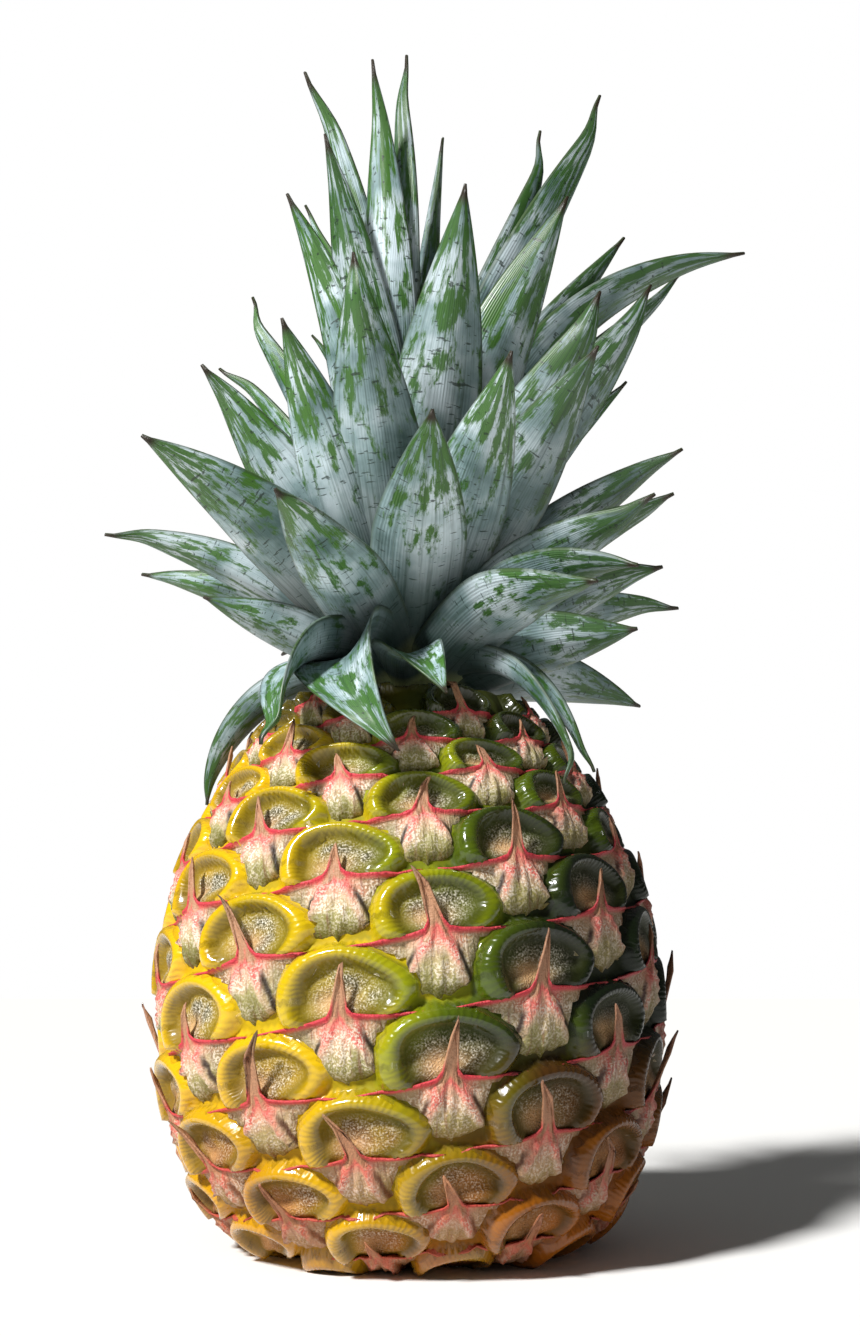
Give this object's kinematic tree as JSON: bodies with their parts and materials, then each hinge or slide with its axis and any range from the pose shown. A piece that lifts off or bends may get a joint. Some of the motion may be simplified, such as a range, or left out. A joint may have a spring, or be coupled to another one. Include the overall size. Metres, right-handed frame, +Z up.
{
  "type": "pineapple",
  "caption": "Whole ripe pineapple standing on its cut base, with spiral eyes, papery bract spikes and a full leafy crown.",
  "frame": {"origin": "centre of the flat cut base, on the surface that the fruit stands on", "axes": "+Z up along the fruit towards its crown; the front, as pictured, faces -Y"},
  "size_m": [0.1805, 0.1538, 0.3273],
  "materials": {
    "fruit_skin": "satin",
    "crown_leaf": "satin"
  },
  "bodies": {
    "root": {"fruit": "fruit_skin", "crown": "crown_leaf"}
  },
  "joints": []
}
